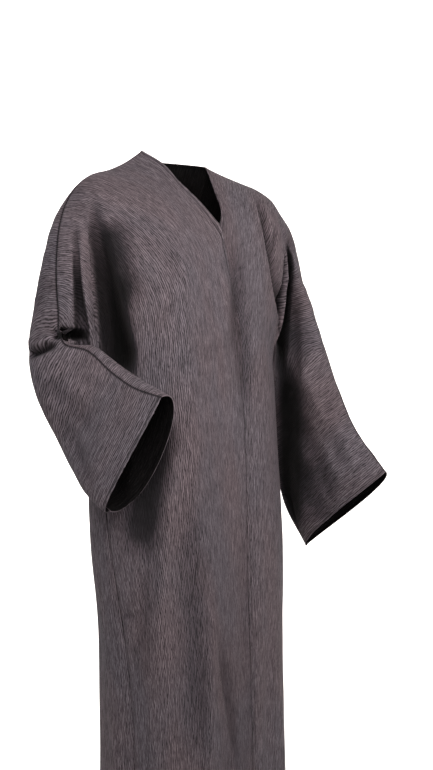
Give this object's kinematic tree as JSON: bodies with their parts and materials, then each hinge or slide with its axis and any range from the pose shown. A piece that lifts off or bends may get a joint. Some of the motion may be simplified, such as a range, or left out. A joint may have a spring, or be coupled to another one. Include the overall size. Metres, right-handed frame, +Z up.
{
  "type": "abaya",
  "caption": "Open-front robe worn hollow: V neck, one front lapped over the other, wide sleeves cut in one with the body, bell cuffs and a straight full-length skirt.",
  "frame": {"origin": "middle of the neck between the two shoulders that carry the robe, level with its back neck edge", "axes": "+Z up along the wearer's height, -Y the way the wearer faces, -X the wearer's right side"},
  "size_m": [0.7075, 0.342, 1.4318],
  "materials": {
    "crepe": "matt woven crinkle crepe, charcoal"
  },
  "bodies": {
    "root": {"front_right": "crepe", "front_left": "crepe", "back": "crepe"}
  },
  "joints": []
}
